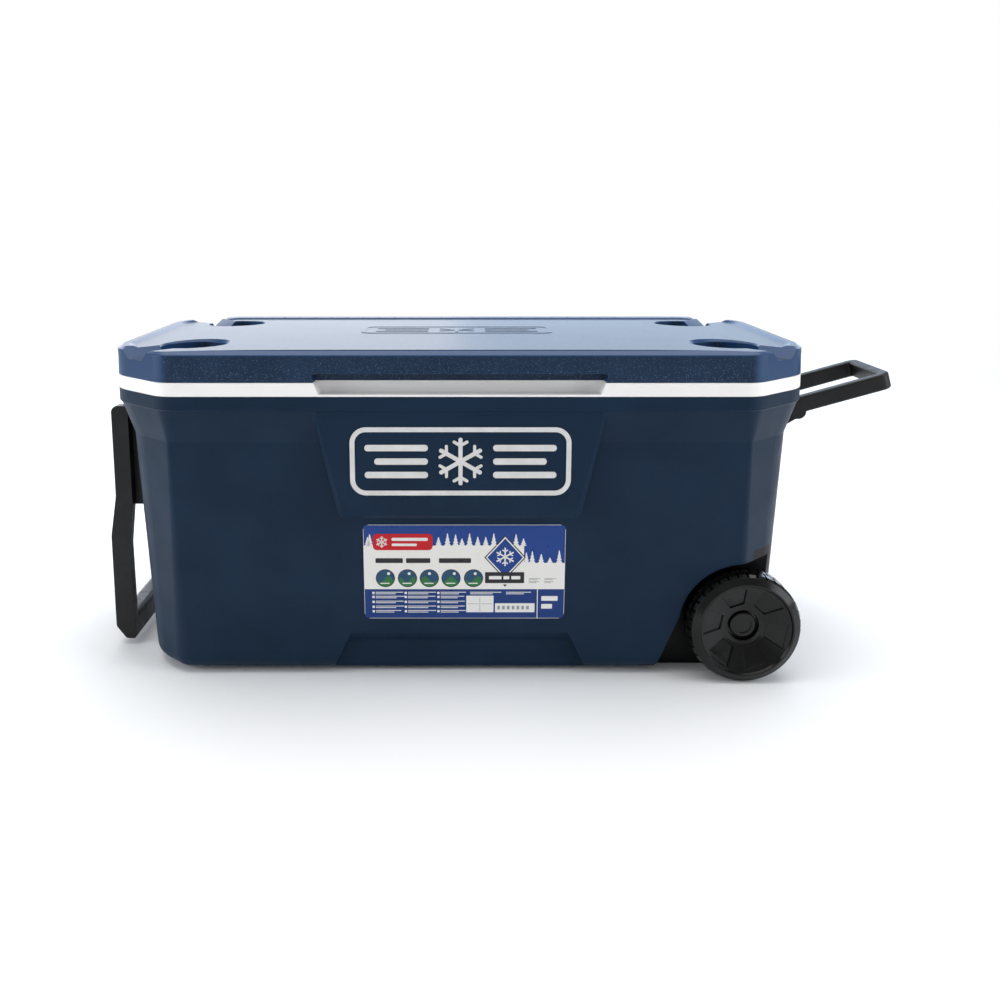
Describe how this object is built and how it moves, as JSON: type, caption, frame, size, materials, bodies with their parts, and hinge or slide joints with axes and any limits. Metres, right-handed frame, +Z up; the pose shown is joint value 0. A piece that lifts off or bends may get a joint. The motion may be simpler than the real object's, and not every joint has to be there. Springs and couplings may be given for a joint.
{
  "type": "wheeled cooler",
  "caption": "Large insulated chest cooler with a hinged lid with cup holders, a long tow handle at one end, a swing-up lift handle and wheels at the other.",
  "frame": {"origin": "centre of the flat plinth under the tub, on the floor", "axes": "+Z up, +X towards the wheel end, -Y is the front with the badge, the lid hinges are at +Y"},
  "size_m": [1.0741, 0.4395, 0.4328],
  "materials": {
    "shell_blue": "navy polyethylene with a fine pebble texture",
    "liner_white": "smooth white polyethylene",
    "foam": "closed-cell insulating foam, never seen",
    "badge_white": "white raised print",
    "label_print": "printed film label, blue and white",
    "handle_black": "black textured polypropylene",
    "wheel_black": "black moulded polyethylene, half gloss",
    "steel": "zinc-plated steel",
    "hinge_steel": "stainless steel",
    "drain_white": "white polypropylene",
    "seal_rubber": "black rubber"
  },
  "bodies": {
    "root": {"outer_shell": "shell_blue", "foam_core": "foam", "inner_liner": "liner_white", "front_badge": "badge_white", "front_label": "label_print", "axle_rod": "steel", "axle_push_nuts": "steel", "tow_bracket": "handle_black", "tow_bracket_screws": "steel", "lift_bracket": "handle_black", "lift_bracket_screws": "steel", "hinge_tub_leaves": "hinge_steel", "hinge_tub_screws": "steel", "hinge_pins": "hinge_steel", "drain_spout": "drain_white", "drain_washer": "seal_rubber", "drain_nut": "drain_white"},
    "lid": {"lid_shell": "shell_blue", "lid_foam": "foam", "lid_liner": "liner_white", "hinge_lid_leaves": "hinge_steel", "hinge_lid_screws": "steel"},
    "tow_handle": {"tow_handle": "handle_black", "tow_handle_pins": "handle_black"},
    "lift_handle": {"lift_handle": "handle_black", "lift_handle_pins": "handle_black"},
    "wheel_front": {"wheel_front": "wheel_black", "wheel_front_cap": "wheel_black"},
    "wheel_rear": {"wheel_rear": "wheel_black", "wheel_rear_cap": "wheel_black"},
    "drain_plug": {"drain_plug": "handle_black", "drain_plug_seal": "seal_rubber"}
  },
  "joints": [
    {"name": "lid_hinge", "type": "hinge", "parent": "root", "child": "lid", "pos_m": [0, 0.2205, 0.39315], "axis": [-1, 0, 0], "range_deg": [0, 100]},
    {"name": "tow_handle_pivot", "type": "hinge", "parent": "root", "child": "tow_handle", "pos_m": [-0.4585, 0, 0.326], "axis": [0, 1, 0], "range_deg": [0, 135]},
    {"name": "lift_handle_pivot", "type": "hinge", "parent": "root", "child": "lift_handle", "pos_m": [0.466, 0, 0.327], "axis": [0, 1, 0], "range_deg": [-74, 105]},
    {"name": "wheel_front_spin", "type": "hinge", "parent": "root", "child": "wheel_front", "pos_m": [0.365, -0.185, 0.072], "axis": [0, 1, 0], "continuous": true},
    {"name": "wheel_rear_spin", "type": "hinge", "parent": "root", "child": "wheel_rear", "pos_m": [0.365, 0.185, 0.072], "axis": [0, 1, 0], "continuous": true},
    {"name": "drain_plug_pull", "type": "slide", "parent": "root", "child": "drain_plug", "axis": [-1, 0, 0], "range_m": [0, 0.026]}
  ]
}
